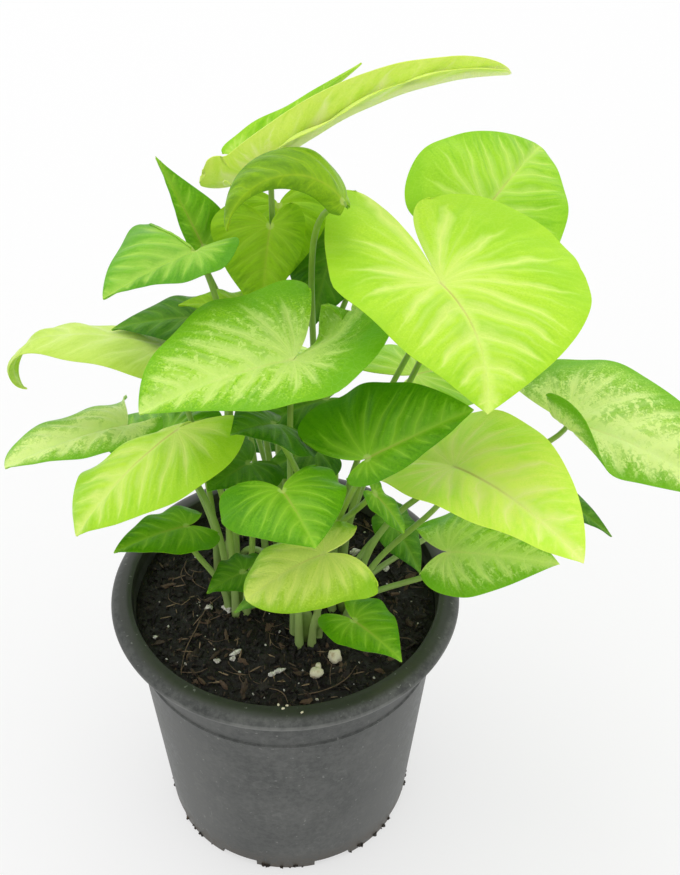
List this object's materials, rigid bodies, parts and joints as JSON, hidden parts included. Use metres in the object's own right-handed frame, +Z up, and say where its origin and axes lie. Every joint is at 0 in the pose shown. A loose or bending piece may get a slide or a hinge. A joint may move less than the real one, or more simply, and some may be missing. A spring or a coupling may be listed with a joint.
{
  "type": "potted arrowhead plant",
  "caption": "Bushy arrowhead plant with arrow-shaped leaves on arching stalks, rooted in the soil of a round tapered plastic nursery pot.",
  "frame": {"origin": "centre of the pot's base, on the surface that the pot stands on", "axes": "+Z up; -Y towards the front that shows most of the foliage; +X to the right seen from the front"},
  "size_m": [0.2436, 0.1704, 0.3038],
  "materials": {
    "pot_plastic": "dusty charcoal moulded plastic, darker and slightly glossy on the rim",
    "soil_mix": "damp dark potting mix of peat and bark chips",
    "stem_green": "smooth green stem with paler sheath",
    "leaf_bright": "satin bright green leaf with pale veins",
    "leaf_pale": "satin whitish green leaf mottled with cream",
    "leaf_dark": "satin deep green leaf in the shade of the crown"
  },
  "bodies": {
    "root": {"leaf_arched": "leaf_bright", "leaf_back_centre": "leaf_pale", "leaf_back_dark": "leaf_dark", "leaf_back_left": "leaf_pale", "leaf_back_pale": "leaf_pale", "leaf_back_right": "leaf_bright", "leaf_behind_right": "leaf_dark", "leaf_big_right": "leaf_bright", "leaf_bud": "leaf_bright", "leaf_centre_big": "leaf_bright", "leaf_centre_dark": "leaf_dark", "leaf_centre_low": "leaf_bright", "leaf_centre_right": "leaf_bright", "leaf_centre_shade": "leaf_dark", "leaf_far_right": "leaf_pale", "leaf_front_small": "leaf_bright", "leaf_horn_spike": "leaf_dark", "leaf_inner_dark": "leaf_dark", "leaf_inner_low": "leaf_dark", "leaf_left_bright": "leaf_bright", "leaf_left_dark": "leaf_dark", "leaf_left_droop": "leaf_pale", "leaf_left_floor": "leaf_dark", "leaf_left_horn": "leaf_bright", "leaf_left_low": "leaf_bright", "leaf_left_pale": "leaf_pale", "leaf_left_small": "leaf_dark", "leaf_low_right": "leaf_bright", "leaf_pale_low": "leaf_pale", "leaf_peek_right": "leaf_dark", "leaf_rear_left": "leaf_bright", "leaf_rear_low": "leaf_dark", "leaf_rear_mid": "leaf_bright", "leaf_rear_right": "leaf_bright", "leaf_rear_side": "leaf_bright", "leaf_sliver": "leaf_bright", "leaf_spear": "leaf_pale", "leaf_under_pale": "leaf_dark", "leaf_under_right": "leaf_bright", "pot": "pot_plastic", "soil": "soil_mix", "stem_back": "stem_green", "stem_back_left": "stem_green", "stem_back_right": "stem_green", "stem_front": "stem_green", "stem_left": "stem_green", "stem_middle": "stem_green", "stem_right": "stem_green"}
  },
  "joints": []
}
